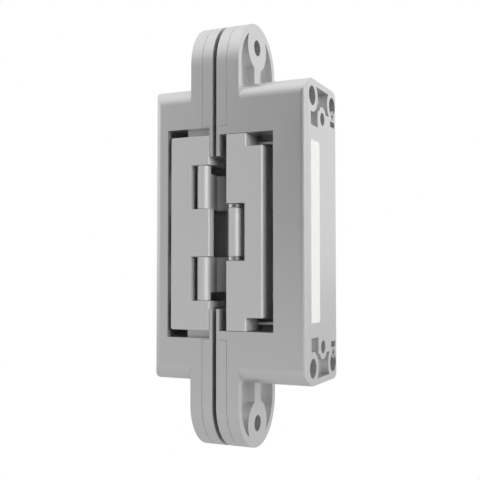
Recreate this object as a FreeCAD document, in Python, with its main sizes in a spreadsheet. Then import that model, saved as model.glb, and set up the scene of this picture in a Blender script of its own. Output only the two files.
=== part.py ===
# Concealed door hinge with two crossing arms, shown closed.
#
# Both halves are let into the edges of a frame and a door. Every piece is drawn in the hinge's own frame:
# X runs across the gap, from the frame half (minus) to the door half (plus), with zero midway in the gap,
# Y runs through the door's thickness, with the side that the door opens to at minus Y, and Z is up.
# Each piece is then placed so that the part's origin is on the seat plane of the frame half's tongues,
# midway between their two screw holes. All sizes are in millimetres.
import FreeCAD, Part
import math
import os
import re
import Sketcher

doc = FreeCAD.newDocument("Hinge")

SIZES = [
    ("gap_width", 1.5, "gap between the two halves of the closed hinge"),
    ("face_width", 32.0, "width of both halves, through the door's thickness"),
    ("tongue_end", 8.2, "end of a tongue, beyond its fixing hole"),
    ("cap_thick", 3.9, "cover cap, over the tongue"),
    ("frame_lip", 1.05, "thin lip of a frame cap, beside the front opening"),
    ("door_lip", 1.1, "thin lip of a door cap, beside the front opening"),
    ("seam", 0.1, "open seam between a cap and its case"),
    ("tongue_thick", 4.33, "screwed tongue of a case"),
    ("tongue_boss", 16.0, "boss round a fixing hole"),
    ("tongue_rib", 5.2, "rib from the boss to the body"),
    ("tongue_rim", 2.5, "rim of the tongue's hollow back"),
    ("tongue_hollow", 2.6, "depth of the tongue's hollow back"),
    ("step_margin", 0.3, "thick part of a cap, beyond the frame case's window"),
    ("opening_slack", 0.3, "clearance of the forked arm under the lips, at the end of its travel"),
    ("body_end", 14.35, "end of a case body, beyond the thick part's edge of a cap"),
    ("frame_depth", 22.55, "frame half, from the front to its back"),
    ("door_depth", 32.35, "door half, from the front to its back"),
    ("body_round", 5.5, "corners of a case body, seen from the gap"),
    ("rear_round", 2.3, "long edges at the back of a case body"),
    ("side_wall", 2.2, "side walls of a case"),
    ("frame_back_wall", 1.4, "back wall of the frame case"),
    ("door_back_wall", 4.6, "back wall of the door case"),
    ("screw_reach", 15.45, "fixing hole, beyond the end of the body"),
    ("screw_hole", 5.6, "fixing hole"),
    ("head_seat", 10.4, "counterbore for the fixing screw's head, under the cap"),
    ("head_depth", 1.6, "depth of that counterbore"),
    ("peg_across", 3.0, "width of the flat pegs that clip a cap to its tongue"),
    ("peg_thick", 1.6, "height of the same pegs"),
    ("peg_length", 1.2, "length of a peg"),
    ("peg_inset", 7.5, "middle of a peg, from the side face"),
    ("peg_reach", 4.15, "pegs, beyond the end of the body"),
    ("peg_slack", 0.1, "clearance all round a peg"),
    ("frame_window_slack", 0.2, "clearance of the frame carrier in its window, at the end of its travel"),
    ("frame_window_far", 18.0, "deep edge of that window"),
    ("door_window_far", 21.4, "deep edge of that window"),
    ("plate_thick", 3.5, "side plate of a carrier"),
    ("frame_plate_end", 4.5, "end of the frame carrier's plate, beyond its knuckle pins"),
    ("frame_plate_near", 1.95, "its front edge"),
    ("frame_plate_far", 16.6, "its deep edge"),
    ("frame_plate_round", 0.8, "its deep corners"),
    ("door_plate_slack", 0.15, "clearance above and below the door carrier in its window"),
    ("door_plate_end", 4.45, "ends of the door carrier's plate, beyond its knuckle pin"),
    ("door_plate_near", 4.25, "front edge of the door carrier's plate"),
    ("door_plate_step", 11.66, "where that plate gets lower"),
    ("door_plate_far", 17.56, "its deep edge"),
    ("pin_reach", 2.7, "end of the knuckle pins, beyond the front opening"),
    ("door_block", 8.5, "thickness of the plate's deep end"),
    ("door_block_length", 3.4, "length of that thick deep end"),
    ("end_block", 14.0, "thickness of its two ends, which take the side adjusting screws"),
    ("mech_shift", 0.8, "middle plane of the arms, from the middle of the gap"),
    ("knuckle_offset", 5.83, "knuckle axis, from the middle plane of the arms"),
    ("knuckle_inset", 2.35, "knuckle axis, below the side face"),
    ("knuckle_across", 4.66, "barrel of an arm at its knuckle"),
    ("knuckle_pin", 2.6, "knuckle pins"),
    ("frame_notch_far", 3.95, "deep edge of the frame carrier's notches, from the knuckle axis"),
    ("door_notch_far", 4.55, "deep edge of the door carrier's notch, from the knuckle axis"),
    ("notch_slack", 0.12, "clearance above and below a barrel in its notch"),
    ("centre_inset", 15.5, "centre pin, below the side face"),
    ("centre_eye", 7.2, "eyes of the arms on the centre pin"),
    ("centre_bore", 4.2, "centre pin"),
    ("guide_offset", 19.6, "guide pin, from the middle plane of the arms"),
    ("guide_inset", 16.75, "guide pin, below the side face"),
    ("guide_hub", 4.8, "hub of an arm at its guide pin"),
    ("guide_pin", 3.0, "guide pins"),
    ("guide_slack", 0.12, "clearance on each side of a guide pin in its slot"),
    ("pin_slack", 0.05, "clearance all round a pin in its bore"),
    ("arm_width", 4.6, "bar of an arm"),
    ("near_knee_back", 1.17, "bend between knuckle and centre, behind the knuckle axis"),
    ("near_knee_inset", 8.35, "the same bend, above the knuckle axis"),
    ("far_knee_offset", 10.8, "bend between centre and guide pin, from the middle plane"),
    ("far_knee_inset", 6.2, "the same bend, above the centre pin"),
    ("inner_height", 16.14, "centre arm"),
    ("fork_slack", 0.13, "clearance between the centre arm and each prong"),
    ("prong_height", 14.8, "each prong of the forked arm, at its barrel"),
    ("web_drop", 2.7, "how much lower its bars are than its barrels"),
    ("washer_thick", 1.3, "washers at the ends of the door knuckle's barrel"),
    ("washer_gap", 0.07, "clearance of those washers"),
    ("cheek_gap", 0.45, "clearance between the forked arm and a cheek"),
    ("cheek_thick", 1.95, "slotted cheeks of a carrier"),
    ("cheek_reach", 14.0, "deep edge of a cheek's root on the side plate"),
    ("cheek_wall", 1.1, "least wall round a guide slot"),
    ("door_swing", 180.0, "largest opening of the door, in degrees"),
    ("near_share", 0.66667, "share of the swing that a knuckle makes"),
    ("plate_round", 0.6, "front edge of a carrier's side plate"),
    ("ledge_far", 12.1, "deep edge of the ledges at the ends of the frame case's window"),
    ("ledge_slack", 0.2, "clearance between the frame carrier's plate and these ledges"),
    ("ledge_thick", 4.0, "thickness of such a ledge"),
    ("lift_rod", 2.8, "square rods that guide the frame carrier when its height is set"),
    ("lift_far", 8.4, "their axis, from the middle of the gap"),
    ("lift_inset", 5.6, "their axis, below the side face"),
    ("lift_hold", 10.2, "their outer end, beyond the frame case's window"),
    ("height_travel", 2.5, "how far the frame carrier can be set up or down"),
    ("side_screw", 2.8, "side adjusting screws of the door half"),
    ("side_screw_inset", 11.0, "their axis, below the side face"),
    ("side_screw_near", 6.6, "their front end, from the middle of the gap"),
    ("side_screw_seat", 2.5, "how far they stand in the back wall of the door case"),
    ("hex_socket", 1.5, "hexagon sockets of the adjusting screws, across the flats"),
    ("socket_depth", 1.6, "depth of these sockets"),
    ("ring_drop", 5.65, "large rings on the back of the door case, from the end of the body"),
    ("ring_inset", 5.6, "the same, from the side face"),
    ("ring_across", 10.8, "their outside"),
    ("ring_bore", 6.4, "their bores"),
    ("ring_depth", 12.0, "depth of those bores"),
    ("eye_drop", 11.85, "small ring on the back of the door case, from the end of the body"),
    ("eye_offset", -0.2, "the same, from the middle"),
    ("eye_across", 8.2, "its outside"),
    ("eye_bore", 4.4, "its bore"),
    ("eye_depth", 6.0, "depth of that bore"),
    ("back_pocket", 3.0, "depth of the pockets in the back of the door case"),
    ("pocket_rim", 2.05, "outer edge of a pocket, from the end of the body"),
    ("pocket_drop", 15.45, "inner edge of a pocket, from the end of the body"),
    ("pocket_inset", 4.0, "near edge of a pocket, from the side face"),
    ("pocket_step", 5.1, "where a pocket gets lower, from the middle"),
    ("pocket_tuck", 2.0, "far edge of a pocket, from the axis of the far ring, under its boss"),
    ("slot_drop", 12.95, "inner edge of the slot under a small screw, from the end of the body"),
    ("slot_width", 4.6, "width of that slot"),
    ("trim_drop", 9.05, "small screws in the back of the door case, from the end of the body"),
    ("trim_inset", 5.4, "the same, from the side face"),
    ("trim_head", 4.0, "their heads"),
    ("trim_head_depth", 1.2, "their heads, from top to bottom"),
    ("trim_shank", 2.4, "their shanks"),
    ("trim_length", 7.0, "their length, with the head"),
    ("trim_slack", 0.06, "clearance all round these screws"),
    ("cross_width", 0.6, "cross recess of these screws"),
    ("cross_length", 2.4, "length of that recess"),
]

sheet = doc.addObject("Spreadsheet::Sheet", "Sizes")
for row, (alias, value, note) in enumerate(SIZES, start=1):
    sheet.set(f"A{row}", alias)
    sheet.set(f"B{row}", str(value))
    sheet.set(f"C{row}", note)
    sheet.setAlias(f"B{row}", alias)
doc.recompute()

ALIASES = {alias for alias, _, _ in SIZES}
WORD = re.compile(r"[a-z_]+")
FRAME, DOOR = -1, 1
TOP, BOTTOM = 1, -1


def bound(text):
    """The same formula with every size read from the sheet."""
    return WORD.sub(lambda m: f"Sizes.{m.group()}" if m.group() in ALIASES else m.group(), str(text))


def size(alias):
    """One size as a plain number, for shapes that are worked out here."""
    return float(sheet.get(alias))


def place(obj):
    """Moves a piece from the hinge's frame to the part's origin."""
    obj.setExpression(".Placement.Base.x", bound("gap_width/2 + cap_thick + tongue_thick"))
    return obj


def new_body(name):
    body = doc.addObject("PartDesign::Body", name)
    body.Label = name
    return place(body)


def new_sketch(body, role, level="0"):
    """A sketch on a plane of the body: YZ_Plane looks along X, XZ_Plane along minus Y, XY_Plane along Z."""
    sketch = body.newObject("Sketcher::SketchObject", f"{body.Name}_sketch")
    plane = [f for f in body.Origin.OriginFeatures if f.Role == role][0]
    sketch.AttachmentSupport = [(plane, "")]
    sketch.MapMode = "FlatFace"
    sketch.setExpression(".AttachmentOffset.Base.z", bound(level))
    return sketch


def pin_point(sketch, element, point, across, up):
    """Ties one point of a sketch to two formulas."""
    for kind, text in (("DistanceX", across), ("DistanceY", up)):
        index = sketch.addConstraint(Sketcher.Constraint(kind, element, point, 0.0))
        sketch.setExpression(f"Constraints[{index}]", bound(text))


def polygon(sketch, corners):
    """A closed outline of straight lines, each corner given by two formulas."""
    values = [(value_of(a), value_of(b)) for a, b in corners]
    count = len(corners)
    lines = []
    for i in range(count):
        start = FreeCAD.Vector(*values[i], 0)
        end = FreeCAD.Vector(*values[(i + 1) % count], 0)
        lines.append(sketch.addGeometry(Part.LineSegment(start, end)))
    for i in range(count):
        sketch.addConstraint(Sketcher.Constraint("Coincident", lines[i], 2, lines[(i + 1) % count], 1))
    for line, (across, up) in zip(lines, corners):
        pin_point(sketch, line, 1, across, up)


def rectangle(sketch, left, low, right, high):
    polygon(sketch, [(left, low), (right, low), (right, high), (left, high)])


def square(sketch, across, up, width):
    half = f"({width})/2"
    rectangle(sketch, f"{across} - {half}", f"{up} - {half}", f"{across} + {half}", f"{up} + {half}")


def circle(sketch, across, up, diameter):
    centre = FreeCAD.Vector(value_of(across), value_of(up), 0)
    ring = sketch.addGeometry(Part.Circle(centre, FreeCAD.Vector(0, 0, 1), value_of(diameter) / 2))
    index = sketch.addConstraint(Sketcher.Constraint("Diameter", ring, value_of(diameter)))
    sketch.setExpression(f"Constraints[{index}]", bound(diameter))
    pin_point(sketch, ring, 3, across, up)


def tongue(sketch, end, half_width, square_end, centre):
    """An outline with one square end and one half-round end, towards the top or the bottom."""
    low, mid = f"{end}*{square_end}", f"{end}*{centre}"
    wide, foot, head = value_of(half_width), value_of(low), value_of(mid)
    near = sketch.addGeometry(Part.LineSegment(FreeCAD.Vector(wide, foot, 0), FreeCAD.Vector(wide, head, 0)))
    far = sketch.addGeometry(Part.LineSegment(FreeCAD.Vector(-wide, head, 0), FreeCAD.Vector(-wide, foot, 0)))
    base = sketch.addGeometry(Part.LineSegment(FreeCAD.Vector(-wide, foot, 0), FreeCAD.Vector(wide, foot, 0)))
    ring = Part.Circle(FreeCAD.Vector(0, head, 0), FreeCAD.Vector(0, 0, 1), wide)
    start, stop = (0, math.pi) if end == TOP else (math.pi, 2 * math.pi)
    arc = sketch.addGeometry(Part.ArcOfCircle(ring, start, stop))
    first, last = (1, 2) if end == TOP else (2, 1)
    pin_point(sketch, arc, 3, "0", mid)
    index = sketch.addConstraint(Sketcher.Constraint("Radius", arc, wide))
    sketch.setExpression(f"Constraints[{index}]", bound(half_width))
    for line, tip, foot_point, arc_end, base_end in ((near, 2, 1, first, 2), (far, 1, 2, last, 1)):
        sketch.addConstraint(Sketcher.Constraint("Horizontal", arc, arc_end, arc, 3))
        sketch.addConstraint(Sketcher.Constraint("Coincident", arc, arc_end, line, tip))
        sketch.addConstraint(Sketcher.Constraint("Vertical", line))
        sketch.addConstraint(Sketcher.Constraint("Coincident", base, base_end, line, foot_point))
        index = sketch.addConstraint(Sketcher.Constraint("DistanceY", line, foot_point, foot))
        sketch.setExpression(f"Constraints[{index}]", bound(low))


def rounded_off(sketch, right, up, across, high, radius):
    """What a round takes off the corner at across and high; right and up are 1 or -1."""
    centre = (f"{right}*({across} - {radius})", f"{up}*({high} - {radius})")
    outer = (f"{right}*({across} + {BEYOND})", f"{up}*({high} + {BEYOND})")
    x, y, reach = value_of(centre[0]), value_of(centre[1]), value_of(radius)
    far_x, far_y = value_of(outer[0]), value_of(outer[1])
    middle = math.atan2(up, right)
    ring = Part.Circle(FreeCAD.Vector(x, y, 0), FreeCAD.Vector(0, 0, 1), reach)
    arc = sketch.addGeometry(Part.ArcOfCircle(ring, middle - math.pi / 4, middle + math.pi / 4))
    level, upright = (1, 2) if right == up else (2, 1)
    pin_point(sketch, arc, 3, *centre)
    index = sketch.addConstraint(Sketcher.Constraint("Radius", arc, reach))
    sketch.setExpression(f"Constraints[{index}]", bound(radius))
    sketch.addConstraint(Sketcher.Constraint("Horizontal", arc, level, arc, 3))
    sketch.addConstraint(Sketcher.Constraint("Vertical", arc, upright, arc, 3))
    points = [(x, y + up * reach), (x, far_y), (far_x, far_y), (far_x, y), (x + right * reach, y)]
    corners = [FreeCAD.Vector(*point, 0) for point in points]
    lines = [sketch.addGeometry(Part.LineSegment(*pair)) for pair in zip(corners, corners[1:])]
    for line, kind in zip(lines, ("Vertical", "Horizontal", "Vertical", "Horizontal")):
        sketch.addConstraint(Sketcher.Constraint(kind, line))
    for line, after in zip(lines, lines[1:]):
        sketch.addConstraint(Sketcher.Constraint("Coincident", line, 2, after, 1))
    sketch.addConstraint(Sketcher.Constraint("Coincident", arc, upright, lines[0], 1))
    sketch.addConstraint(Sketcher.Constraint("Coincident", arc, level, lines[-1], 2))
    pin_point(sketch, lines[1], 2, *outer)


def value_of(text):
    """The number that a formula of sizes gives."""
    terms = WORD.sub(lambda m: str(size(m.group())) if m.group() in ALIASES else m.group(), str(text))
    return FreeCAD.Units.Quantity(terms).Value


def pad(body, sketch, length, back=False, middle=False):
    feature = body.newObject("PartDesign::Pad", f"{body.Name}_pad")
    feature.Profile = sketch
    feature.setExpression("Length", bound(length))
    feature.Reversed = back
    feature.Midplane = middle
    feature.Refine = False
    return feature


def pocket(body, sketch, length, back=False, middle=False):
    """Cuts away from the sketch: against its normal, or along it when back is set."""
    feature = body.newObject("PartDesign::Pocket", f"{body.Name}_pocket")
    feature.Profile = sketch
    feature.setExpression("Length", bound(length))
    feature.Reversed = back
    feature.Midplane = middle
    feature.Refine = False
    return feature


def fillet(body, radius, wanted):
    """Rounds the edges of the body's last feature that pass the test."""
    last = body.Tip
    last.Refine = True
    doc.recompute()
    names = [f"Edge{i}" for i, edge in enumerate(last.Shape.Edges, start=1) if wanted(edge)]
    feature = body.newObject("PartDesign::Fillet", f"{body.Name}_fillet")
    feature.Base = (last, names)
    feature.setExpression("Radius", bound(radius))
    return feature


def runs_along(edge, axis):
    """True for a straight edge in the direction of the axis."""
    if edge.Curve.TypeId != "Part::GeomLine":
        return False
    return abs(abs(edge.Curve.Direction.dot(axis)) - 1) < 1e-6


ALONG_X = FreeCAD.Vector(1, 0, 0)
ALONG_Y = FreeCAD.Vector(0, 1, 0)
ALONG_Z = FreeCAD.Vector(0, 0, 1)
NEAR = 1e-4
BEYOND = 1.0
PATH_STEPS = 4
SMALL_TURN = 0.1

FRONT = "(gap_width/2)"
TONGUE_FRONT = "(gap_width/2 + cap_thick)"
CAP_BACK = "(gap_width/2 + cap_thick - seam)"
SEAT = "(gap_width/2 + cap_thick + tongue_thick)"
FRAME_LIP_BACK = "(gap_width/2 + frame_lip)"
DOOR_LIP_BACK = "(gap_width/2 + door_lip)"
BACK = "(gap_width/2 + door_depth)"
SIDE_FACE = "(face_width/2)"
INNER_WALL = "(face_width/2 - side_wall)"
KNUCKLE_Y = "(knuckle_inset - face_width/2)"
CENTRE_Y = "(centre_inset - face_width/2)"
GUIDE_Y = "(guide_inset - face_width/2)"
PLATE_INSIDE = "(plate_thick - face_width/2)"
PRONG_LOW = "(inner_height/2 + fork_slack)"
PRONG_HIGH = f"({PRONG_LOW} + prong_height)"
WEB_HIGH = f"({PRONG_HIGH} - web_drop)"
CHEEK_LOW = f"({PRONG_HIGH} + cheek_gap)"
CHEEK_HIGH = f"({CHEEK_LOW} + cheek_thick)"
OPENING_HIGH = f"({PRONG_HIGH} + height_travel + opening_slack)"
PIN_END = f"({OPENING_HIGH} + pin_reach)"
DOOR_PLATE_HIGH = f"({PIN_END} + door_plate_end)"
DOOR_WINDOW_HIGH = f"({DOOR_PLATE_HIGH} + door_plate_slack)"
FRAME_PLATE_HIGH = f"({PIN_END} + frame_plate_end)"
FRAME_WINDOW_HIGH = f"({FRAME_PLATE_HIGH} + height_travel + frame_window_slack)"
STEP_HIGH = f"({FRAME_WINDOW_HIGH} + step_margin)"
BODY_HIGH = f"({STEP_HIGH} + body_end)"
SCREW_Z = f"({BODY_HIGH} + screw_reach)"
ROUND_CENTRE = f"({SCREW_Z} + tongue_end - {SIDE_FACE})"
PEG_Y = "(face_width/2 - peg_inset)"
PEG_Z = f"({BODY_HIGH} + peg_reach)"
LIFT_END = f"({FRAME_WINDOW_HIGH} + lift_hold)"
SIDE_SCREW_Z = f"({PIN_END} + door_plate_end/2)"
RING_Y = "(face_width/2 - ring_inset)"
RING_Z = f"({BODY_HIGH} - ring_drop)"
EYE_Z = f"({BODY_HIGH} - eye_drop)"
TRIM_Y = "(face_width/2 - trim_inset)"
TRIM_Z = f"({BODY_HIGH} - trim_drop)"
LIFT_Y = "(lift_inset - face_width/2)"
SIDE_SCREW_Y = "(side_screw_inset - face_width/2)"


def body_depth(side):
    return "frame_depth" if side == FRAME else "door_depth"


def lip_back(side):
    return FRAME_LIP_BACK if side == FRAME else DOOR_LIP_BACK


def lip(side):
    return "frame_lip" if side == FRAME else "door_lip"


def knuckle_x(side):
    return f"(mech_shift + {side}*knuckle_offset)"


def guide_x(side):
    return f"(mech_shift + {side}*guide_offset)"


def peg(sketch, across, end, slack):
    """The outline of one flat peg of a cap, or of its hole when there is a slack."""
    wide, high = f"(peg_across/2 + {slack})", f"(peg_thick/2 + {slack})"
    near, far = f"{across}*({PEG_Y} + {wide})", f"{across}*({PEG_Y} - {wide})"
    rectangle(sketch, near, f"{end}*({PEG_Z} - {high})", far, f"{end}*({PEG_Z} + {high})")


def add_tongues(body, side):
    """The two screwed tongues: half-round ends, hollow backs with a boss and a rib, screw and peg holes."""
    out = side == FRAME
    for end in (TOP, BOTTOM):
        outline = new_sketch(body, "YZ_Plane", f"{side}*{TONGUE_FRONT}")
        tongue(outline, end, SIDE_FACE, STEP_HIGH, ROUND_CENTRE)
        pad(body, outline, "tongue_thick", back=out)
        hollow = new_sketch(body, "YZ_Plane", f"{side}*{SEAT}")
        tongue(hollow, end, "(face_width/2 - tongue_rim)", BODY_HIGH, ROUND_CENTRE)
        pocket(body, hollow, "tongue_hollow", back=out)
    bosses = new_sketch(body, "YZ_Plane", f"{side}*{SEAT}")
    ribs = new_sketch(body, "YZ_Plane", f"{side}*{SEAT}")
    holes = new_sketch(body, "YZ_Plane", f"{side}*{SEAT}")
    seats = new_sketch(body, "YZ_Plane", f"{side}*{TONGUE_FRONT}")
    pegs = new_sketch(body, "YZ_Plane", f"{side}*{TONGUE_FRONT}")
    for end in (TOP, BOTTOM):
        screw = f"{end}*{SCREW_Z}"
        circle(bosses, "0", screw, "tongue_boss")
        rectangle(ribs, "-tongue_rib/2", f"{end}*{BODY_HIGH}", "tongue_rib/2", screw)
        circle(holes, "0", screw, "screw_hole")
        circle(seats, "0", screw, "head_seat")
        for across in (-1, 1):
            peg(pegs, across, end, "peg_slack")
    pad(body, bosses, "tongue_hollow", back=not out)
    pad(body, ribs, "tongue_hollow", back=not out)
    pocket(body, holes, "tongue_thick", back=out)
    pocket(body, seats, "head_depth", back=not out)
    pocket(body, pegs, "peg_length + peg_slack", back=not out)


def make_case(side):
    """The die-cast case of one half: body, tongues, cavity for the carrier and window in the opening side."""
    name = "frame_case" if side == FRAME else "door_case"
    body = new_body(name)
    depth = body_depth(side)
    block = new_sketch(body, "YZ_Plane", f"{side}*{TONGUE_FRONT}")
    rectangle(block, f"-{SIDE_FACE}", f"-{BODY_HIGH}", SIDE_FACE, BODY_HIGH)
    pad(body, block, f"gap_width/2 + {depth} - {TONGUE_FRONT}", back=side == FRAME)
    corners = new_sketch(body, "YZ_Plane", f"{side}*{TONGUE_FRONT}")
    for across, end in ((1, TOP), (-1, TOP), (-1, BOTTOM), (1, BOTTOM)):
        rounded_off(corners, across, end, SIDE_FACE, BODY_HIGH, "body_round")
    pocket(body, corners, f"gap_width/2 + {depth} - {TONGUE_FRONT}", back=side == DOOR)
    rounds = new_sketch(body, "XY_Plane")
    for across in (-1, 1):
        rounded_off(rounds, side, across, f"gap_width/2 + {depth}", SIDE_FACE, "rear_round")
    pocket(body, rounds, f"2*({BODY_HIGH} + {BEYOND})", middle=True)
    step = new_sketch(body, "YZ_Plane", f"{side}*{lip_back(side)}")
    rectangle(step, f"-{SIDE_FACE}", f"-{STEP_HIGH}", SIDE_FACE, STEP_HIGH)
    pad(body, step, f"cap_thick - {lip(side)}", back=side == FRAME)
    add_tongues(body, side)
    window = FRAME_WINDOW_HIGH if side == FRAME else DOOR_WINDOW_HIGH
    back_wall = "frame_back_wall" if side == FRAME else "door_back_wall"
    cavity = new_sketch(body, "YZ_Plane", f"{side}*{lip_back(side)}")
    rectangle(cavity, f"-{INNER_WALL}", f"-{window}", INNER_WALL, window)
    pocket(body, cavity, f"gap_width/2 + {depth} - {back_wall} - {lip_back(side)}", back=side == DOOR)
    opening = new_sketch(body, "XZ_Plane", SIDE_FACE)
    far = "frame_window_far" if side == FRAME else "door_window_far"
    rectangle(opening, f"{side}*{lip_back(side)}", f"-{window}", f"{side}*{far}", window)
    pocket(body, opening, "side_wall")
    if side == FRAME:
        add_ledges(body)
    else:
        add_back_pockets(body)
        add_back_bores(body)
    return body


def add_ledges(body):
    """Ledges at the ends of the frame case's window, with the bores of the guide rods."""
    for end in (TOP, BOTTOM):
        ledge = new_sketch(body, "XZ_Plane", f"-({PLATE_INSIDE} + ledge_slack)")
        low = f"{end}*{FRAME_PLATE_HIGH}"
        rectangle(ledge, f"-{FRAME_LIP_BACK}", low, "-ledge_far", f"{end}*{FRAME_WINDOW_HIGH}")
        pad(body, ledge, "ledge_thick", back=True)
        bore = new_sketch(body, "XY_Plane", low)
        square(bore, "-lift_far", LIFT_Y, "lift_rod + 2*pin_slack")
        pocket(body, bore, f"{LIFT_END} + height_travel + peg_slack - {FRAME_PLATE_HIGH}", back=end == TOP)


def add_back_pockets(body):
    """Pockets in the back of the door case, round the bosses of its rings, and under its small screws."""
    tool = doc.addObject("PartDesign::Body", "back_pockets")
    hollows = new_sketch(tool, "YZ_Plane", BACK)
    bosses = new_sketch(tool, "YZ_Plane", BACK)
    for end in (TOP, BOTTOM):
        low, high = f"{end}*({BODY_HIGH} - pocket_drop)", f"{end}*({BODY_HIGH} - pocket_rim)"
        eye = f"{end}*({EYE_Z} + eye_across/4)"
        near, far = "(pocket_inset - face_width/2)", f"({RING_Y} - pocket_tuck)"
        polygon(hollows, [
            (near, low), ("-pocket_step", low), ("-pocket_step", eye), (far, eye), (far, high), (near, high),
        ])
        slot = [f"{end}*({BODY_HIGH} - slot_drop)", f"{end}*({TRIM_Z} - trim_head/2)"]
        rectangle(hollows, f"{TRIM_Y} - slot_width/2", slot[0], f"{TRIM_Y} + slot_width/2", slot[1])
        circle(bosses, f"-{RING_Y}", f"{end}*{RING_Z}", "ring_across")
        circle(bosses, RING_Y, f"{end}*{RING_Z}", "ring_across")
        circle(bosses, "eye_offset", f"{end}*{EYE_Z}", "eye_across")
    pad(tool, hollows, "back_pocket", back=True)
    pocket(tool, bosses, "back_pocket")
    cut = body.newObject("PartDesign::Boolean", "door_case_back")
    cut.setObjects([tool])
    cut.Type = "Cut"


def add_back_bores(body):
    """Bores from the back of the door case: rings, small screws and the ends of the side adjusting screws."""
    trims = [(TRIM_Y, TRIM_Z)]
    rings = [(f"-{RING_Y}", RING_Z), (RING_Y, RING_Z)]
    drill(body, BACK, rings, "ring_bore", "ring_depth")
    drill(body, BACK, [("eye_offset", EYE_Z)], "eye_bore", "eye_depth")
    drill(body, BACK, trims, "trim_head + 2*trim_slack", "trim_head_depth")
    drill(body, BACK, trims, "trim_shank + 2*trim_slack", "trim_length")
    wall = f"({BACK} - door_back_wall + side_screw_seat)"
    drill(body, wall, [(SIDE_SCREW_Y, SIDE_SCREW_Z)], "side_screw + 2*pin_slack", "side_screw_seat")


def drill(body, level, places, diameter, depth):
    """Round holes at the top and the bottom of a case, from one level towards the front."""
    holes = new_sketch(body, "YZ_Plane", level)
    for across, up in places:
        for end in (TOP, BOTTOM):
            circle(holes, across, f"{end}*{up}", diameter)
    pocket(body, holes, depth)


def make_cap(side, end):
    """A cover cap: thick over the tongue, with a thin lip that runs on to the front opening."""
    name = ("frame" if side == FRAME else "door") + "_cap_" + ("top" if end == TOP else "bottom")
    body = new_body(name)
    outline = new_sketch(body, "YZ_Plane", f"{side}*{FRONT}")
    tongue(outline, end, SIDE_FACE, OPENING_HIGH, ROUND_CENTRE)
    pad(body, outline, "cap_thick - seam", back=side == FRAME)
    thin = new_sketch(body, "YZ_Plane", f"{side}*{CAP_BACK}")
    rectangle(thin, f"-{SIDE_FACE}", f"{end}*{OPENING_HIGH}", SIDE_FACE, f"{end}*({STEP_HIGH} + seam)")
    pocket(body, thin, f"cap_thick - seam - {lip(side)}", back=side == FRAME)
    pegs = new_sketch(body, "YZ_Plane", f"{side}*{CAP_BACK}")
    for across in (-1, 1):
        peg(pegs, across, end, "0")
    pad(body, pegs, "peg_length + seam", back=side == FRAME)
    return body


def spin(point, degrees):
    angle = math.radians(degrees)
    x, y = point
    return (x * math.cos(angle) - y * math.sin(angle), x * math.sin(angle) + y * math.cos(angle))


def guide_point(side, swing):
    """Where a guide pin is in its carrier when the door has swung by an angle, in degrees.

    The arm with its knuckle on this carrier turns by the near share of the swing, and carries the centre
    pin round the knuckle. The other arm turns by the rest and carries the guide pin round the centre pin.
    """
    knuckle = (-size("knuckle_offset"), value_of(KNUCKLE_Y))
    centre = (0.0, value_of(CENTRE_Y))
    guide = (-size("guide_offset"), value_of(GUIDE_Y))
    first = spin((centre[0] - knuckle[0], centre[1] - knuckle[1]), -swing * size("near_share"))
    second = spin((guide[0] - centre[0], guide[1] - centre[1]), -swing * (1 - size("near_share")))
    across = knuckle[0] + first[0] + second[0]
    return FreeCAD.Vector(size("mech_shift") - side * across, knuckle[1] + first[1] + second[1], 0)


def around_path(side, radius, low, high):
    """A prism with round ends that follows the path of a guide pin at a given distance."""
    up = FreeCAD.Vector(0, 0, 1)
    ways, mids, left, right = [], [], [], []
    for i in range(PATH_STEPS + 1):
        swing = size("door_swing") * i / PATH_STEPS
        mid = guide_point(side, swing)
        way = guide_point(side, swing + SMALL_TURN) - guide_point(side, swing - SMALL_TURN)
        way.normalize()
        ways.append(way)
        mids.append(mid)
        left.append(mid + up.cross(way) * radius)
        right.append(mid - up.cross(way) * radius)
    edges = []
    for points in (left, right):
        for i in range(0, PATH_STEPS, 2):
            edges.append(Part.Arc(points[i], points[i + 1], points[i + 2]).toShape())
    edges.append(Part.Arc(left[0], mids[0] - ways[0] * radius, right[0]).toShape())
    edges.append(Part.Arc(left[-1], mids[-1] + ways[-1] * radius, right[-1]).toShape())
    outline = Part.Wire(Part.__sortEdges__(edges))
    prism = Part.Face(outline).extrude(FreeCAD.Vector(0, 0, high - low))
    return prism.translate(FreeCAD.Vector(0, 0, low))


def set_shape(name, shape):
    feature = doc.addObject("Part::Feature", name)
    feature.Shape = shape
    return feature


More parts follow.
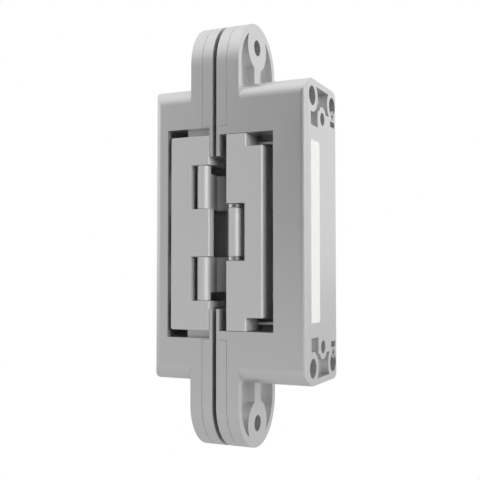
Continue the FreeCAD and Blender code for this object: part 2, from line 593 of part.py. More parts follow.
def make_carrier(side):
    """The sliding carrier of one half: side plate with knuckle notches and two slotted cheeks."""
    name = "frame_carrier" if side == FRAME else "door_carrier"
    body = doc.addObject("PartDesign::Body", f"{name}_plate")
    near = "frame_plate_near" if side == FRAME else "door_plate_near"
    plate = new_sketch(body, "XZ_Plane", SIDE_FACE)
    if side == FRAME:
        high = FRAME_PLATE_HIGH
        rectangle(plate, f"{side}*{near}", f"-{high}", f"{side}*frame_plate_far", high)
        pad(body, plate, "plate_thick", back=True)
        deep = -value_of("frame_plate_far")
        fillet(body, "frame_plate_round", lambda edge: runs_along(edge, ALONG_Y)
               and abs(edge.Vertexes[0].Point.x - deep) < NEAR)
    else:
        high, low = DOOR_PLATE_HIGH, PIN_END
        polygon(plate, [
            (near, f"-{high}"), ("door_plate_step", f"-{high}"), ("door_plate_step", f"-{low}"),
            ("door_plate_far", f"-{low}"), ("door_plate_far", low), ("door_plate_step", low),
            ("door_plate_step", high), (near, high),
        ])
        pad(body, plate, "plate_thick", back=True)
        ends = new_sketch(body, "XZ_Plane", SIDE_FACE)
        rectangle(ends, "door_plate_far - door_block_length", f"-{low}", "door_plate_far", low)
        pad(body, ends, "door_block", back=True)
        for end in (TOP, BOTTOM):
            block = new_sketch(body, "XZ_Plane", SIDE_FACE)
            rectangle(block, near, f"{end}*{low}", "door_plate_step", f"{end}*{high}")
            pad(body, block, "end_block", back=True)
    rounded = [side * value_of(near)]
    if side == DOOR:
        rounded += [value_of("door_plate_step"), value_of("door_plate_far")]
    on_side = -value_of(SIDE_FACE)
    fillet(body, "plate_round", lambda edge: runs_along(edge, ALONG_Z)
           and abs(edge.Vertexes[0].Point.y - on_side) < NEAR
           and any(abs(edge.Vertexes[0].Point.x - x) < NEAR for x in rounded))
    notch_far = "frame_notch_far" if side == FRAME else "door_notch_far"
    notch_edge = f"({knuckle_x(side)} + {side}*{notch_far})"
    low, high = notch_span(side)
    for end in (TOP, BOTTOM):
        if side == DOOR and end == BOTTOM:
            break
        notch = new_sketch(body, "XZ_Plane", SIDE_FACE)
        bottom = f"-{high}" if side == DOOR else f"{end}*{low}"
        rectangle(notch, f"{side}*{near}", bottom, notch_edge, f"{end}*{high}")
        pocket(body, notch, "door_block")
    for end in (TOP, BOTTOM):
        cheek = new_sketch(body, "XY_Plane", f"{end}*{CHEEK_LOW}")
        web = f"({PLATE_INSIDE} - plate_thick/2)"
        rectangle(cheek, f"{side}*{near}", web, f"{side}*cheek_reach", f"{GUIDE_Y} - arm_width")
        pad(body, cheek, "cheek_thick", back=end == BOTTOM)
    doc.recompute()
    shape = body.Shape
    cheek_low = value_of(CHEEK_LOW)
    cheek_high = cheek_low + size("cheek_thick")
    slot = size("guide_pin") / 2 + size("guide_slack")
    for end in (TOP, BOTTOM):
        low, high = sorted((end * cheek_low, end * cheek_high))
        shape = shape.fuse(around_path(side, slot + size("cheek_wall"), low, high))
    for end in (TOP, BOTTOM):
        low, high = sorted((end * cheek_low, end * cheek_high))
        shape = shape.cut(around_path(side, slot, low - BEYOND, high + BEYOND))
    for low, high in knuckle_bosses(side):
        start = FreeCAD.Vector(value_of(knuckle_x(side)), value_of(KNUCKLE_Y), low)
        shape = shape.fuse(Part.makeCylinder(size("knuckle_across") / 2, high - low, start))
    bore = Part.makeCylinder(
        size("knuckle_pin") / 2 + size("pin_slack"),
        2 * value_of(FRAME_PLATE_HIGH),
        FreeCAD.Vector(value_of(knuckle_x(side)), value_of(KNUCKLE_Y), -value_of(FRAME_PLATE_HIGH)),
    )
    shape = shape.cut(bore)
    for end in (TOP, BOTTOM):
        if side == FRAME:
            half = size("lift_rod") / 2 + size("pin_slack")
            low, high = sorted((end * (cheek_low - BEYOND), end * (cheek_high + BEYOND)))
            corner = FreeCAD.Vector(-size("lift_far") - half, value_of(LIFT_Y) - half, low)
            hole = Part.makeBox(2 * half, 2 * half, high - low, corner)
        else:
            start = FreeCAD.Vector(0, value_of(SIDE_SCREW_Y), end * value_of(SIDE_SCREW_Z))
            radius = size("side_screw") / 2 + size("pin_slack")
            hole = Part.makeCylinder(radius, size("door_depth"), start, ALONG_X)
        shape = shape.cut(hole)
    feature = set_shape(name, shape.removeSplitter())
    feature.Label = name
    return place(feature)


def notch_span(side):
    """Lowest and highest point of a notch above the middle: two on the frame carrier, one on the door's."""
    if side == FRAME:
        return f"({PRONG_LOW} - notch_slack)", f"({PRONG_HIGH} + notch_slack)"
    return "0", "(inner_height/2 + washer_thick + 2*washer_gap + notch_slack)"


def knuckle_bosses(side):
    """Where a carrier is thickened round its knuckle pins, between and beyond its notches."""
    low, high = [value_of(text) for text in notch_span(side)]
    end = value_of(PIN_END)
    spans = [(high, end), (-end, -high)]
    if side == FRAME:
        spans.append((-low, low))
    return spans


def make_arm(side, bar_span, barrel_span):
    """One arm in plan, from its knuckle past the centre pin to its guide pin.

    side is the half that carries the knuckle. The bar bends at a knee on each side of the centre pin.
    Each span is a pair of heights: one for the bar and the two eyes on it, one for the barrel at the knuckle.
    """
    far = -side
    points = [
        (knuckle_x(side), KNUCKLE_Y),
        (f"({knuckle_x(side)} + {side}*near_knee_back)", f"({KNUCKLE_Y} + near_knee_inset)"),
        ("mech_shift", CENTRE_Y),
        (f"(mech_shift + {far}*far_knee_offset)", f"({CENTRE_Y} + far_knee_inset)"),
        (guide_x(far), GUIDE_Y),
    ]
    path = Part.makePolygon([FreeCAD.Vector(value_of(x), value_of(y), 0) for x, y in points])
    outline = path.makeOffset2D(size("arm_width") / 2, 0, False, False, False)
    low, high = bar_span
    bar = Part.Face(outline).extrude(FreeCAD.Vector(0, 0, high - low)).translate(FreeCAD.Vector(0, 0, low))
    eyes = [
        (points[0], size("knuckle_across"), barrel_span),
        (points[2], size("centre_eye"), bar_span),
        (points[4], size("guide_hub"), bar_span),
    ]
    for (x, y), across, (low, high) in eyes:
        centre = FreeCAD.Vector(value_of(x), value_of(y), low)
        bar = bar.fuse(Part.makeCylinder(across / 2, high - low, centre))
    return bar, [eye[0] for eye in eyes]


def bore_arm(shape, eyes, bores):
    """Drills the three eyes of an arm from end to end."""
    reach = value_of(PIN_END)
    for (x, y), across in zip(eyes, bores):
        start = FreeCAD.Vector(value_of(x), value_of(y), -reach)
        shape = shape.cut(Part.makeCylinder(across / 2, 2 * reach, start))
    return shape.removeSplitter()


def make_arms():
    slack = 2 * size("pin_slack")
    bores = [size("knuckle_pin") + slack, size("centre_bore") + slack, size("guide_pin") + slack]
    inner = size("inner_height") / 2
    prong_low, prong_high, web_high = [value_of(text) for text in (PRONG_LOW, PRONG_HIGH, WEB_HIGH)]
    shape, eyes = make_arm(DOOR, (-inner, inner), (-inner, inner))
    hub_at = FreeCAD.Vector(value_of(eyes[2][0]), value_of(eyes[2][1]), -prong_high)
    hub = Part.makeCylinder(size("guide_hub") / 2, 2 * prong_high, hub_at)
    centre_arm = set_shape("centre_arm", bore_arm(shape.fuse(hub), eyes, bores))
    place(centre_arm)
    upper, eyes = make_arm(FRAME, (prong_low, web_high), (prong_low, prong_high))
    lower, eyes = make_arm(FRAME, (-web_high, -prong_low), (-prong_high, -prong_low))
    hub_at = FreeCAD.Vector(value_of(eyes[2][0]), value_of(eyes[2][1]), -prong_high)
    hub = Part.makeCylinder(size("guide_hub") / 2, 2 * prong_high, hub_at)
    forked_arm = set_shape("forked_arm", bore_arm(upper.fuse(lower).fuse(hub), eyes, bores))
    place(forked_arm)
    return [centre_arm, forked_arm]


def make_pin(name, x, y, across, low, high):
    """A straight pin with its ends at two heights."""
    pin = doc.addObject("Part::Cylinder", name)
    pin.Label = name
    pin.setExpression("Radius", bound(f"({across})/2"))
    pin.setExpression("Height", bound(f"({high}) - ({low})"))
    pin.setExpression(".Placement.Base.x", bound(f"({x}) + {SEAT}"))
    pin.setExpression(".Placement.Base.y", bound(y))
    pin.setExpression(".Placement.Base.z", bound(low))
    return pin


def make_pins():
    pins = [make_pin("centre_pin", "mech_shift", CENTRE_Y, "centre_bore", f"-{WEB_HIGH}", WEB_HIGH)]
    for side, name in ((FRAME, "frame_guide_pin"), (DOOR, "door_guide_pin")):
        pins.append(make_pin(name, guide_x(side), GUIDE_Y, "guide_pin", f"-{CHEEK_HIGH}", CHEEK_HIGH))
    end = PIN_END
    pins.append(make_pin("door_knuckle_pin", knuckle_x(DOOR), KNUCKLE_Y, "knuckle_pin", f"-{end}", end))
    inner = "(inner_height/4)"
    for name, low, high in (("top", inner, end), ("bottom", f"-{end}", f"-{inner}")):
        pins.append(make_pin(
            f"frame_knuckle_pin_{name}", knuckle_x(FRAME), KNUCKLE_Y, "knuckle_pin", low, high))
    return pins


def make_washer(end):
    """A washer between the door knuckle's barrel and its carrier."""
    name = "door_knuckle_washer_" + ("top" if end == TOP else "bottom")
    low = "(inner_height/2 + washer_gap)"
    body = new_body(name)
    sketch = new_sketch(body, "XY_Plane", f"{end}*{low}")
    circle(sketch, knuckle_x(DOOR), KNUCKLE_Y, "knuckle_across")
    circle(sketch, knuckle_x(DOOR), KNUCKLE_Y, "knuckle_pin + 2*pin_slack")
    pad(body, sketch, "washer_thick", back=end == BOTTOM)
    return body


def make_rod(end):
    """A square rod, fixed in the frame carrier, that slides in the frame case when the height is set."""
    body = new_body("height_rod_" + ("top" if end == TOP else "bottom"))
    low = f"({CHEEK_LOW} - cheek_gap/2)"
    rod = new_sketch(body, "XY_Plane", f"{end}*{low}")
    square(rod, "-lift_far", LIFT_Y, "lift_rod")
    pad(body, rod, f"{LIFT_END} - {low}", back=end == BOTTOM)
    return body


def make_side_screw(end):
    """An adjusting screw of the door half: it joins the carrier's end block to the back of the case."""
    body = new_body("side_screw_" + ("top" if end == TOP else "bottom"))
    far = f"({BACK} - door_back_wall + side_screw_seat - peg_slack)"
    shaft = new_sketch(body, "YZ_Plane", "side_screw_near")
    circle(shaft, SIDE_SCREW_Y, f"{end}*{SIDE_SCREW_Z}", "side_screw")
    pad(body, shaft, f"{far} - side_screw_near")
    socket = new_sketch(body, "YZ_Plane", "side_screw_near")
    corners = []
    for i in range(6):
        angle = math.radians(60 * i)
        across, up = round(math.cos(angle) / math.sqrt(3), 5), round(math.sin(angle) / math.sqrt(3), 5)
        corners.append((
            f"{SIDE_SCREW_Y} + hex_socket*({across})", f"{end}*{SIDE_SCREW_Z} + hex_socket*({up})"))
    polygon(socket, corners)
    pocket(body, socket, "socket_depth", back=True)
    return body


def make_trim_screw(end):
    """A small pan-head screw with a cross recess, in the back of the door case."""
    name = "back_screw_" + ("top" if end == TOP else "bottom")
    body = new_body(name)
    up = f"{end}*{TRIM_Z}"
    head = new_sketch(body, "YZ_Plane", BACK)
    circle(head, TRIM_Y, up, "trim_head")
    pad(body, head, "trim_head_depth - trim_slack", back=True)
    shank = new_sketch(body, "YZ_Plane", f"{BACK} - trim_head_depth + trim_slack")
    circle(shank, TRIM_Y, up, "trim_shank")
    pad(body, shank, "trim_length - trim_head_depth - trim_slack", back=True)
    for wide, high in (("cross_length", "cross_width"), ("cross_width", "cross_length")):
        slot = new_sketch(body, "YZ_Plane", BACK)
        left, right = f"{TRIM_Y} - {wide}/2", f"{TRIM_Y} + {wide}/2"
        rectangle(slot, left, f"{up} - {high}/2", right, f"{up} + {high}/2")
        pocket(body, slot, "cross_width")
    return body


pieces = [make_case(FRAME), make_case(DOOR)]
pieces += [make_cap(side, end) for side in (FRAME, DOOR) for end in (TOP, BOTTOM)]
pieces += [make_carrier(FRAME), make_carrier(DOOR)]
pieces += make_arms()
pieces += make_pins()
pieces += [make_washer(end) for end in (TOP, BOTTOM)]
pieces += [make_rod(end) for end in (TOP, BOTTOM)]
pieces += [make_side_screw(end) for end in (TOP, BOTTOM)]
pieces += [make_trim_screw(end) for end in (TOP, BOTTOM)]

for piece in pieces:
    if piece.TypeId == "PartDesign::Body":
        piece.Tip.Refine = True
doc.recompute()
for obj in doc.Objects:
    if "Invalid" in obj.State or "Error" in obj.State:
        raise RuntimeError(f"{obj.Name} did not compute: {obj.State}")
for piece in pieces:
    if piece.Shape.isNull() or not piece.Shape.isValid():
        raise RuntimeError(f"{piece.Label} has no valid shape")

os.makedirs("parts", exist_ok=True)
for piece in pieces:
    piece.Shape.exportStep(f"parts/{piece.Label}.step")
    box = piece.Shape.BoundBox
    print(f"{piece.Label:26s} solids {len(piece.Shape.Solids)} volume {piece.Shape.Volume:9.1f}"
          f"  x {box.XMin:7.2f} {box.XMax:7.2f}  y {box.YMin:7.2f} {box.YMax:7.2f}"
          f"  z {box.ZMin:7.2f} {box.ZMax:7.2f}")
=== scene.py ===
"""Looks of a concealed door hinge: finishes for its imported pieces, a film strip and the studio."""
import math

import bpy
from bpy.props import FloatProperty, FloatVectorProperty, PointerProperty, StringProperty
from bpy.types import Operator, Panel, PropertyGroup
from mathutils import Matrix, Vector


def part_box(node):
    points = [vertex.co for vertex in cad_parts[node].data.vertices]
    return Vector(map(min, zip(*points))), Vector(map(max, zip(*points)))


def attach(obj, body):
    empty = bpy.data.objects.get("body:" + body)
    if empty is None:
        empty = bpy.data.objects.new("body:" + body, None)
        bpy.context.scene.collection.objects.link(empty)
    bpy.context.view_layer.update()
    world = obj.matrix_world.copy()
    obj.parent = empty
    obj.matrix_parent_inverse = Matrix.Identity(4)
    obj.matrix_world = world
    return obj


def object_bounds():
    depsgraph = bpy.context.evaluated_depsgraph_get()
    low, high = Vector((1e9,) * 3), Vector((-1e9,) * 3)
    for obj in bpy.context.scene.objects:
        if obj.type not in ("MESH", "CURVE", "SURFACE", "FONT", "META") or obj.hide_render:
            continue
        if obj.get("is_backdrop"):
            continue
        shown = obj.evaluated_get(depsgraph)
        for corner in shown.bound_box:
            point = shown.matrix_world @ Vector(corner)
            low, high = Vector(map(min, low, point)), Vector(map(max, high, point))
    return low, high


bl_info = {
    "name": "Concealed Hinge Looks",
    "version": (1, 0, 0),
    "blender": (4, 5, 0),
    "location": "View3D > Sidebar > Hinge",
    "description": "Finishes, film strip and studio for a concealed door hinge",
    "category": "Object",
}

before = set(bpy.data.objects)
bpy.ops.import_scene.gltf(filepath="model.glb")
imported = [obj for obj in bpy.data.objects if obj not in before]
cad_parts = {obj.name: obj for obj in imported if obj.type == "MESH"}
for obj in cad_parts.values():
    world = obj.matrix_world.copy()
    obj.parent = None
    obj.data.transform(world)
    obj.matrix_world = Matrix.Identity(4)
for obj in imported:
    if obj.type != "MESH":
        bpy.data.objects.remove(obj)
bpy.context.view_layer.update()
MM = 0.001
WHITE = (1.0, 1.0, 1.0, 1.0)

# Finishes: share of metal, roughness and how far the roughness varies.
CASE_METAL = 0.8
CASE_ROUGHNESS = 0.32
MOVING_METAL = 0.4
MOVING_ROUGHNESS = 0.35
STEEL_ROUGHNESS = 0.28
FILM_ROUGHNESS = 0.45
CASTING_SPREAD = 0.04
STEEL_SPREAD = 0.03

# Patterns on the finishes, in real sizes. A wave texture turns WAVE_RATE radians in one unit of its scale.
CLOUD_SIZE = 9 * MM
GRAIN_STRENGTH = 0.12
GRAIN_DEPTH = 0.05 * MM
STEEL_EDGE = 0.2 * MM
BAND_PITCH = 5.0265 * MM
WAVE_RATE = 20
BEVEL_SAMPLES = 4

CASTINGS = ("frame_case", "door_case")
MOVING_CASTINGS = ("frame_carrier", "door_carrier", "centre_arm", "forked_arm")
COVERS = ("frame_cap_top", "frame_cap_bottom", "door_cap_top", "door_cap_bottom")
KNUCKLES = ("frame_knuckle_pin_top", "frame_knuckle_pin_bottom", "door_knuckle_pin")
PINS = ("centre_pin", "frame_guide_pin", "door_guide_pin", "height_rod_top", "height_rod_bottom")
SMALL_STEEL = (
    "door_knuckle_washer_top",
    "door_knuckle_washer_bottom",
    "side_screw_top",
    "side_screw_bottom",
    "back_screw_top",
    "back_screw_bottom",
)


def linear(hex_colour):
    """Turns an sRGB hex colour into the linear colour that the shaders take."""
    channels = [int(hex_colour[i:i + 2], 16) / 255 for i in (0, 2, 4)]
    return [c / 12.92 if c <= 0.04045 else ((c + 0.055) / 1.055) ** 2.4 for c in channels] + [1.0]


def add_node(tree, kind, settings=None, inputs=None, links=None):
    """Adds one node, sets its properties and sockets, and links other nodes' outputs into its inputs."""
    node = tree.nodes.new(kind)
    for name, value in (settings or {}).items():
        setattr(node, name, value)
    for name, value in (inputs or {}).items():
        node.inputs[name].default_value = value
    for name, output in (links or {}).items():
        tree.links.new(output, node.inputs[name])
    return node


def new_material(name):
    material = bpy.data.materials.new(name)
    material.use_nodes = True
    material.node_tree.nodes.clear()
    return material, material.node_tree


def satin_nickel_casting(name, colour, grain, edge, roughness, metal):
    """Die-cast zinc, blasted and nickel plated: soft grey sheen with a fine even grain and rounded edges."""
    material, tree = new_material(name)
    place = add_node(tree, "ShaderNodeTexCoord")
    blasted = add_node(
        tree, "ShaderNodeTexNoise",
        inputs={"Scale": 1 / grain, "Detail": 2.0, "Roughness": 0.6},
        links={"Vector": place.outputs["Object"]},
    )
    cloudy = add_node(
        tree, "ShaderNodeTexNoise",
        inputs={"Scale": 1 / CLOUD_SIZE, "Detail": 2.0},
        links={"Vector": place.outputs["Object"]},
    )
    gloss = add_node(
        tree, "ShaderNodeMapRange",
        inputs={"To Min": roughness - CASTING_SPREAD, "To Max": roughness + CASTING_SPREAD},
        links={"Value": cloudy.outputs["Fac"]},
    )
    rounded = add_node(
        tree, "ShaderNodeBevel", settings={"samples": BEVEL_SAMPLES}, inputs={"Radius": edge})
    grainy = add_node(
        tree, "ShaderNodeBump",
        inputs={"Strength": GRAIN_STRENGTH, "Distance": GRAIN_DEPTH},
        links={"Height": blasted.outputs["Fac"], "Normal": rounded.outputs["Normal"]},
    )
    surface = add_node(
        tree, "ShaderNodeBsdfPrincipled",
        inputs={"Base Color": linear(colour), "Metallic": metal},
        links={"Roughness": gloss.outputs["Result"], "Normal": grainy.outputs["Normal"]},
    )
    add_node(tree, "ShaderNodeOutputMaterial", links={"Surface": surface.outputs["BSDF"]})
    return material


def ground_steel(name, colour):
    """Ground steel pins: brighter and glossier than the castings, with slow bands of gloss along them."""
    material, tree = new_material(name)
    place = add_node(tree, "ShaderNodeTexCoord")
    bands = add_node(
        tree, "ShaderNodeTexWave",
        settings={"wave_type": "BANDS", "bands_direction": "Z"},
        inputs={"Scale": 2 * math.pi / (WAVE_RATE * BAND_PITCH), "Distortion": 1.0, "Detail": 2.0},
        links={"Vector": place.outputs["Object"]},
    )
    gloss = add_node(
        tree, "ShaderNodeMapRange",
        inputs={"To Min": STEEL_ROUGHNESS - STEEL_SPREAD, "To Max": STEEL_ROUGHNESS + STEEL_SPREAD},
        links={"Value": bands.outputs["Fac"]},
    )
    rounded = add_node(
        tree, "ShaderNodeBevel", settings={"samples": BEVEL_SAMPLES}, inputs={"Radius": STEEL_EDGE})
    surface = add_node(
        tree, "ShaderNodeBsdfPrincipled",
        inputs={"Base Color": linear(colour), "Metallic": 1.0},
        links={"Roughness": gloss.outputs["Result"], "Normal": rounded.outputs["Normal"]},
    )
    add_node(tree, "ShaderNodeOutputMaterial", links={"Surface": surface.outputs["BSDF"]})
    return material


def white_film(name, colour):
    """White vinyl film without print: even and slightly glossy."""
    material, tree = new_material(name)
    surface = add_node(
        tree, "ShaderNodeBsdfPrincipled",
        inputs={"Base Color": linear(colour), "Roughness": FILM_ROUGHNESS},
    )
    add_node(tree, "ShaderNodeOutputMaterial", links={"Surface": surface.outputs["BSDF"]})
    return material


def lit_acrylic(name, colour, glow):
    """White acrylic lit from below: plain white to the eye, and dimmer where the hinge mirrors it."""
    material, tree = new_material(name)
    shone = add_node(
        tree, "ShaderNodeEmission", inputs={"Color": linear(colour), "Strength": glow})
    seen = add_node(
        tree, "ShaderNodeEmission", inputs={"Color": linear(colour), "Strength": 1.0})
    ray = add_node(tree, "ShaderNodeLightPath")
    mixed = add_node(
        tree, "ShaderNodeMixShader",
        links={
            0: ray.outputs["Is Camera Ray"], 1: shone.outputs["Emission"], 2: seen.outputs["Emission"],
        },
    )
    add_node(tree, "ShaderNodeOutputMaterial", links={"Surface": mixed.outputs["Shader"]})
    return material


def finish_nodes(names, material):
    """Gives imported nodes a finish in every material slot."""
    for name in names:
        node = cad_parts[name]
        if not node.material_slots:
            node.data.materials.append(material)
        for slot in node.material_slots:
            slot.material = material


class HingeFinishSettings(PropertyGroup):
    casting_colour: StringProperty(name="Castings", description="Colour of the cases", default="D8D8D8")
    moving_colour: StringProperty(
        name="Moving parts", description="Colour of carriers and arms", default="CACACA")
    cover_colour: StringProperty(name="Covers", description="Colour of the cover caps", default="D8D8D8")
    steel_colour: StringProperty(name="Pins", description="Colour of pins and screws", default="D2D2D2")
    film_colour: StringProperty(name="Film", description="Colour of the film strip", default="D0D0CE")
    grain: FloatProperty(
        name="Grain", description="Size of the blasted grain, coarser than real so that it shows",
        default=0.35 * MM, min=0.05 * MM, unit="LENGTH", precision=5,
    )
    edge: FloatProperty(
        name="Edge rounding", description="How far cast edges look rounded",
        default=0.2 * MM, min=0.0, unit="LENGTH", precision=5,
    )


class HingeFilmSettings(PropertyGroup):
    width: FloatProperty(
        name="Width", description="Width of the strip",
        default=8.6 * MM, unit="LENGTH", precision=5,
    )
    height: FloatProperty(
        name="Height", description="Height of the strip",
        default=60 * MM, unit="LENGTH", precision=5,
    )
    thick: FloatProperty(
        name="Thickness", description="Its thickness, half of which is let into the case's back",
        default=0.15 * MM, unit="LENGTH", precision=5,
    )
    middle: FloatProperty(
        name="Middle", description="Where its middle is through the door's thickness",
        default=-7.9 * MM, unit="LENGTH", precision=5,
    )
    corner: FloatProperty(
        name="Corner", description="Radius of its corners",
        default=0.8 * MM, unit="LENGTH", precision=5,
    )


class HingeStageSettings(PropertyGroup):
    floor_colour: StringProperty(name="Floor", description="Colour of the floor", default="FFFFFF")
    floor_glow: FloatProperty(
        name="Floor glow", description="Light that the floor throws on the hinge", default=0.55)
    floor_size: FloatProperty(
        name="Floor size", description="Width of the floor", default=8.0, unit="LENGTH")
    floor_gap: FloatProperty(
        name="Floor gap", description="How far the floor lies under the hinge",
        default=0.1 * MM, unit="LENGTH", precision=5,
    )
    surround: FloatProperty(
        name="Surround", description="Brightness of the tent's walls", default=1.0, min=0.0)
    right_share: FloatProperty(
        name="Right share", description="How bright its right wall is beside the left", default=0.72)
    opening: FloatProperty(
        name="Opening", description="Brightness of its opening, at the camera", default=0.06, min=0.0)
    opening_rim: FloatProperty(
        name="Opening's rim", description="Cosine of the angle at which the opening starts", default=0.5)
    opening_core: FloatProperty(
        name="Opening's core", description="Cosine of the angle at which it is darkest", default=0.96)
    opening_turn: FloatProperty(
        name="Opening turn", description="How far the opening is turned to the right of the hinge's front",
        default=math.radians(8), subtype="ANGLE",
    )
    above_place: FloatVectorProperty(
        name="Lamp above", description="Where the lamp above hangs", size=3, subtype="TRANSLATION",
        default=(0.0, -0.1, 0.9),
    )
    above_size: FloatProperty(
        name="Its size", description="Width of the lamp above", default=0.8, unit="LENGTH")
    above_power: FloatProperty(
        name="Its power", description="Power of the lamp above in watts", default=0.3, min=0.0)
    lamp_turn: FloatProperty(
        name="Lamp turn", description="How far the right lamp stands to the right of the hinge's front",
        default=math.radians(62), subtype="ANGLE",
    )
    lamp_tilt: FloatProperty(
        name="Lamp tilt", description="How far it stands above the hinge",
        default=math.radians(6), subtype="ANGLE",
    )
    lamp_far: FloatProperty(
        name="Lamp distance", description="How far away it is", default=0.9, unit="LENGTH")
    lamp_size: FloatProperty(name="Lamp size", description="Its width", default=0.6, unit="LENGTH")
    lamp_power: FloatProperty(
        name="Lamp power", description="Its power in watts", default=10.0, min=0.0)
    camera_place: FloatVectorProperty(
        name="Camera", description="Where the camera stands", size=3, subtype="TRANSLATION",
        default=(0.127613, -0.255084, -0.013411),
    )
    camera_turn: FloatProperty(
        name="Camera turn", description="How far it is turned to the left of the hinge's Y axis",
        default=math.radians(24.529), subtype="ANGLE",
    )
    camera_tilt: FloatProperty(
        name="Camera tilt", description="How far it looks up", default=math.radians(2.327), subtype="ANGLE",
    )
    camera_lens: FloatProperty(
        name="Lens", description="Focal length on the sensor below", default=59.40, unit="CAMERA")
    camera_sensor: FloatProperty(
        name="Sensor", description="Width of the sensor in mm", default=36.0, unit="CAMERA")
    camera_near: FloatProperty(
        name="Near limit", description="Nearest distance that the camera sees", default=0.01, unit="LENGTH")


class HINGE_OT_castings(Operator):
    """Gives the cases, carriers and arms their satin nickel finish"""
    bl_idname = "hinge.castings"
    bl_label = "Castings"

    def execute(self, context):
        look = context.scene.hinge_finish
        finish_nodes(CASTINGS, satin_nickel_casting(
            "Satin nickel die casting", look.casting_colour, look.grain, look.edge,
            CASE_ROUGHNESS, CASE_METAL))
        finish_nodes(MOVING_CASTINGS, satin_nickel_casting(
            "Satin nickel moving castings", look.moving_colour, look.grain, look.edge,
            MOVING_ROUGHNESS, MOVING_METAL))
        return {"FINISHED"}


class HINGE_OT_covers(Operator):
    """Gives the cover caps their satin nickel finish"""
    bl_idname = "hinge.covers"
    bl_label = "Covers"

    def execute(self, context):
        look = context.scene.hinge_finish
        finish_nodes(COVERS, satin_nickel_casting(
            "Satin nickel covers", look.cover_colour, look.grain, look.edge,
            CASE_ROUGHNESS, CASE_METAL))
        return {"FINISHED"}


class HINGE_OT_pins(Operator):
    """Gives pins, rods, washers and screws their ground steel finish"""
    bl_idname = "hinge.pins"
    bl_label = "Pins and screws"

    def execute(self, context):
        look = context.scene.hinge_finish
        steel = ground_steel("Ground steel", look.steel_colour)
        finish_nodes(KNUCKLES + PINS + SMALL_STEEL, steel)
        return {"FINISHED"}


class HINGE_OT_film(Operator):
    """Adds the plain film strip on the back of the door half"""
    bl_idname = "hinge.film"
    bl_label = "Film strip"

    def execute(self, context):
        film = context.scene.hinge_film
        colour = context.scene.hinge_finish.film_colour
        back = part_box("door_case")[1][0]
        bpy.ops.object.select_all(action="DESELECT")
        bpy.ops.mesh.primitive_cube_add(size=1, location=(back, film.middle, 0))
        strip = context.object
        strip.name = "film_strip"
        strip.scale = (film.thick, film.width, film.height)
        bpy.ops.object.transform_apply(location=True, rotation=True, scale=True)
        bpy.ops.object.mode_set(mode="EDIT")
        bpy.ops.mesh.select_mode(type="EDGE")
        bpy.ops.mesh.select_all(action="DESELECT")
        bpy.ops.object.mode_set(mode="OBJECT")
        for edge in strip.data.edges:
            a, b = (strip.data.vertices[i].co for i in edge.vertices)
            edge.select = abs(a.x - b.x) > film.thick / 2
        bpy.ops.object.mode_set(mode="EDIT")
        bpy.ops.mesh.bevel(offset=film.corner, segments=4)
        bpy.ops.object.mode_set(mode="OBJECT")
        strip.data.materials.clear()
        strip.data.materials.append(white_film("White vinyl film", colour))
        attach(strip, "door_half")
        return {"FINISHED"}


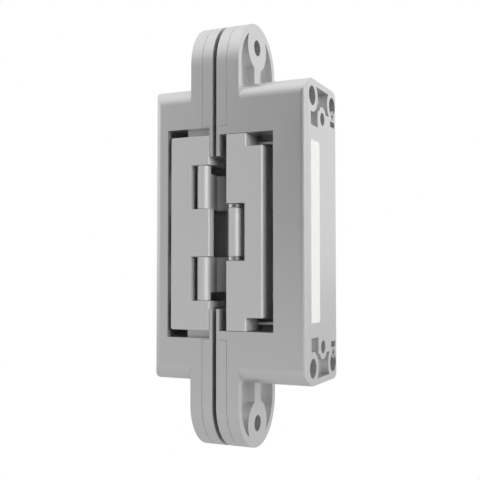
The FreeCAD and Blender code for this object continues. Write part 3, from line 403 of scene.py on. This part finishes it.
class HINGE_OT_stage(Operator):
    """Adds the pale floor, the soft studio light and the camera at the photograph's angle"""
    bl_idname = "hinge.stage"
    bl_label = "Stage"

    def execute(self, context):
        stage = context.scene.hinge_stage
        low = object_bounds()[0][2]
        bpy.ops.object.select_all(action="DESELECT")
        bpy.ops.mesh.primitive_plane_add(size=stage.floor_size, location=(0, 0, low - stage.floor_gap))
        floor = context.object
        floor.name = "floor"
        acrylic = lit_acrylic("Lit white acrylic", stage.floor_colour, stage.floor_glow)
        floor.data.materials.append(acrylic)
        floor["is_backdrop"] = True
        self.surround(context, stage)
        self.lamps(context, stage)
        bpy.ops.object.camera_add(
            location=stage.camera_place,
            rotation=(math.radians(90) + stage.camera_tilt, 0, stage.camera_turn),
        )
        camera = context.object
        camera.data.lens = stage.camera_lens
        camera.data.sensor_width = stage.camera_sensor
        camera.data.clip_start = stage.camera_near
        context.scene.camera = camera
        context.scene.view_settings.view_transform = "Standard"
        return {"FINISHED"}

    def surround(self, context, stage):
        """A white tent: bright all round, and dark only at its opening, where the camera stands."""
        world = bpy.data.worlds.new("White tent")
        context.scene.world = world
        world.use_nodes = True
        tree = world.node_tree
        tree.nodes.clear()
        place = add_node(tree, "ShaderNodeTexCoord")
        opening = (math.sin(stage.opening_turn), -math.cos(stage.opening_turn), 0.0)
        along = add_node(
            tree, "ShaderNodeVectorMath", settings={"operation": "DOT_PRODUCT"},
            inputs={1: opening}, links={0: place.outputs["Generated"]},
        )
        walls = add_node(
            tree, "ShaderNodeMapRange", settings={"interpolation_type": "SMOOTHSTEP"},
            inputs={
                "From Min": stage.opening_rim, "From Max": stage.opening_core,
                "To Min": stage.surround, "To Max": stage.opening,
            },
            links={"Value": along.outputs["Value"]},
        )
        sideways = add_node(tree, "ShaderNodeSeparateXYZ", links={0: place.outputs["Generated"]})
        share = add_node(
            tree, "ShaderNodeMapRange",
            inputs={"From Min": -1.0, "From Max": 1.0, "To Min": 1.0, "To Max": stage.right_share},
            links={"Value": sideways.outputs["X"]},
        )
        dimmed = add_node(
            tree, "ShaderNodeMath", settings={"operation": "MULTIPLY"},
            links={0: walls.outputs["Result"], 1: share.outputs["Result"]},
        )
        tent = add_node(
            tree, "ShaderNodeBackground", inputs={"Color": WHITE},
            links={"Strength": dimmed.outputs["Value"]},
        )
        seen = add_node(tree, "ShaderNodeBackground", inputs={"Color": WHITE, "Strength": 1.0})
        ray = add_node(tree, "ShaderNodeLightPath")
        mixed = add_node(
            tree, "ShaderNodeMixShader",
            links={
                0: ray.outputs["Is Camera Ray"],
                1: tent.outputs["Background"],
                2: seen.outputs["Background"],
            },
        )
        add_node(tree, "ShaderNodeOutputWorld", links={"Surface": mixed.outputs["Shader"]})

    def lamps(self, context, stage):
        """A faint soft lamp above, and one on the right that reaches into the deep window.

        The right lamp isn't mirrored, so that the barrels show only the tent.
        """
        bpy.ops.object.light_add(type="AREA", location=stage.above_place)
        above = context.object
        above.name = "lamp_above"
        above.data.size = stage.above_size
        above.data.energy = stage.above_power
        turn, tilt = stage.lamp_turn, stage.lamp_tilt
        level = stage.lamp_far * math.cos(tilt)
        bpy.ops.object.light_add(
            type="AREA",
            location=(level * math.sin(turn), -level * math.cos(turn), stage.lamp_far * math.sin(tilt)),
            rotation=(math.radians(90) - tilt, 0, turn),
        )
        right = context.object
        right.name = "lamp_right"
        right.data.size = stage.lamp_size
        right.data.energy = stage.lamp_power
        right.visible_glossy = False


class HINGE_PT_panel(Panel):
    """Lists the hinge's pieces in the sidebar"""
    bl_idname = "HINGE_PT_panel"
    bl_label = "Concealed hinge"
    bl_space_type = "VIEW_3D"
    bl_region_type = "UI"
    bl_category = "Hinge"

    def draw(self, context):
        for operator in OPERATORS:
            self.layout.operator(operator.bl_idname)
        for settings in (context.scene.hinge_finish, context.scene.hinge_film, context.scene.hinge_stage):
            column = self.layout.column()
            for name in settings.__annotations__:
                column.prop(settings, name)


SETTINGS = {
    "hinge_finish": HingeFinishSettings,
    "hinge_film": HingeFilmSettings,
    "hinge_stage": HingeStageSettings,
}
OPERATORS = (HINGE_OT_castings, HINGE_OT_covers, HINGE_OT_pins, HINGE_OT_film, HINGE_OT_stage)


def register():
    for name, settings in SETTINGS.items():
        bpy.utils.register_class(settings)
        setattr(bpy.types.Scene, name, PointerProperty(type=settings))
    for operator in OPERATORS:
        bpy.utils.register_class(operator)
    bpy.utils.register_class(HINGE_PT_panel)


def unregister():
    bpy.utils.unregister_class(HINGE_PT_panel)
    for operator in reversed(OPERATORS):
        bpy.utils.unregister_class(operator)
    for name, settings in reversed(SETTINGS.items()):
        delattr(bpy.types.Scene, name)
        bpy.utils.unregister_class(settings)


def main():
    register()
    bpy.ops.hinge.castings()
    bpy.ops.hinge.covers()
    bpy.ops.hinge.pins()
    bpy.ops.hinge.film()
    bpy.ops.hinge.stage()


if __name__ == "__main__":
    main()
